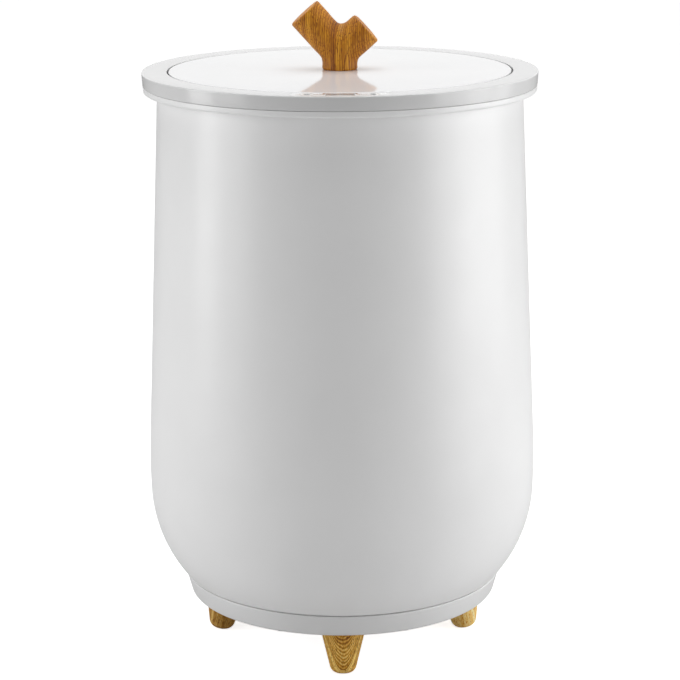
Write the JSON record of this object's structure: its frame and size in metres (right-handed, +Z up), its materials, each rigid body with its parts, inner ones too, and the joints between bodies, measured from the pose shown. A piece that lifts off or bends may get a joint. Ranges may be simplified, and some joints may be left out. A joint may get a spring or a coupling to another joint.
{
  "type": "towel warmer bucket",
  "caption": "Round insulated towel warming drum with a lift-off lid, forked wooden handle, ring-top controls and wooden feet.",
  "frame": {"origin": "on the floor, under the drum's axis", "axes": "+Z up along the drum's axis; -Y towards the control panel, the front; +X to the right seen from the front"},
  "size_m": [0.3213, 0.3214, 0.5327],
  "materials": {
    "lid_white": "high gloss",
    "ring_white": "high gloss",
    "casing_white": "satin gloss",
    "base_white": "satin gloss",
    "fascia_white": "gloss",
    "display_tint": "tinted, polished",
    "key_white": "gloss",
    "liner_white": "moulded",
    "foam": "foam",
    "grey_silicone": "matte",
    "oak": "oiled",
    "brass": "turned",
    "steel": "zinc plated",
    "bucket_aluminium": "drawn, satin",
    "heater_silicone": "silicone rubber",
    "felt": "needled felt",
    "board_green": "solder mask",
    "black_plastic": "moulded",
    "ivory_plastic": "moulded",
    "relay_blue": "moulded",
    "core_orange": "lacquered laminations",
    "lead_insulation": "silicone sleeve"
  },
  "bodies": {
    "drum": {"top_ring": "ring_white", "panel_fascia": "fascia_white", "display_lens": "display_tint", "display_module": "black_plastic", "power_switch": "black_plastic", "timer_switch": "black_plastic", "control_board": "board_green", "panel_connector": "ivory_plastic", "control_board_screws": "steel", "ring_screws": "steel", "bucket_seal": "grey_silicone", "outer_casing": "casing_white", "casing_collar": "casing_white", "inner_bucket": "bucket_aluminium", "heater_band": "heater_silicone", "insulation_jacket": "felt", "floor_insulation": "felt", "thermostat": "black_plastic", "thermal_fuse": "steel", "temperature_sensor": "steel", "panel_harness": "lead_insulation", "heater_leads": "lead_insulation", "sensor_leads": "lead_insulation", "power_board": "board_green", "power_transformer": "core_orange", "heater_relay": "relay_blue", "filter_capacitor": "black_plastic", "heater_terminals": "ivory_plastic", "harness_header": "ivory_plastic", "sensor_header": "ivory_plastic", "power_board_screws": "steel", "base_cover": "base_white", "base_screws": "steel", "cord_gland": "black_plastic", "front_foot": "oak", "right_foot": "oak", "rear_foot": "oak", "left_foot": "oak", "foot_screws": "steel"},
    "lid": {"lid_cover": "lid_white", "lid_liner": "liner_white", "lid_insulation": "foam", "lid_gasket": "grey_silicone", "lid_handle": "oak", "handle_insert": "brass", "handle_washer": "steel", "handle_screw": "steel", "lid_screws": "steel"},
    "power_button": {"power_key": "key_white", "power_plunger": "black_plastic"},
    "timer_button": {"timer_key": "key_white", "timer_plunger": "black_plastic"}
  },
  "joints": [
    {"name": "lid_lift", "type": "slide", "parent": "drum", "child": "lid", "axis": [0, 0, 1], "range_m": [0, 0.12]},
    {"name": "power_press", "type": "slide", "parent": "drum", "child": "power_button", "axis": [0, 0, -1], "range_m": [0, 0.0008], "stiffness_N_per_m": 500, "springref_m": -0.0004},
    {"name": "timer_press", "type": "slide", "parent": "drum", "child": "timer_button", "axis": [0, 0, -1], "range_m": [0, 0.0008], "stiffness_N_per_m": 500, "springref_m": -0.0004}
  ]
}
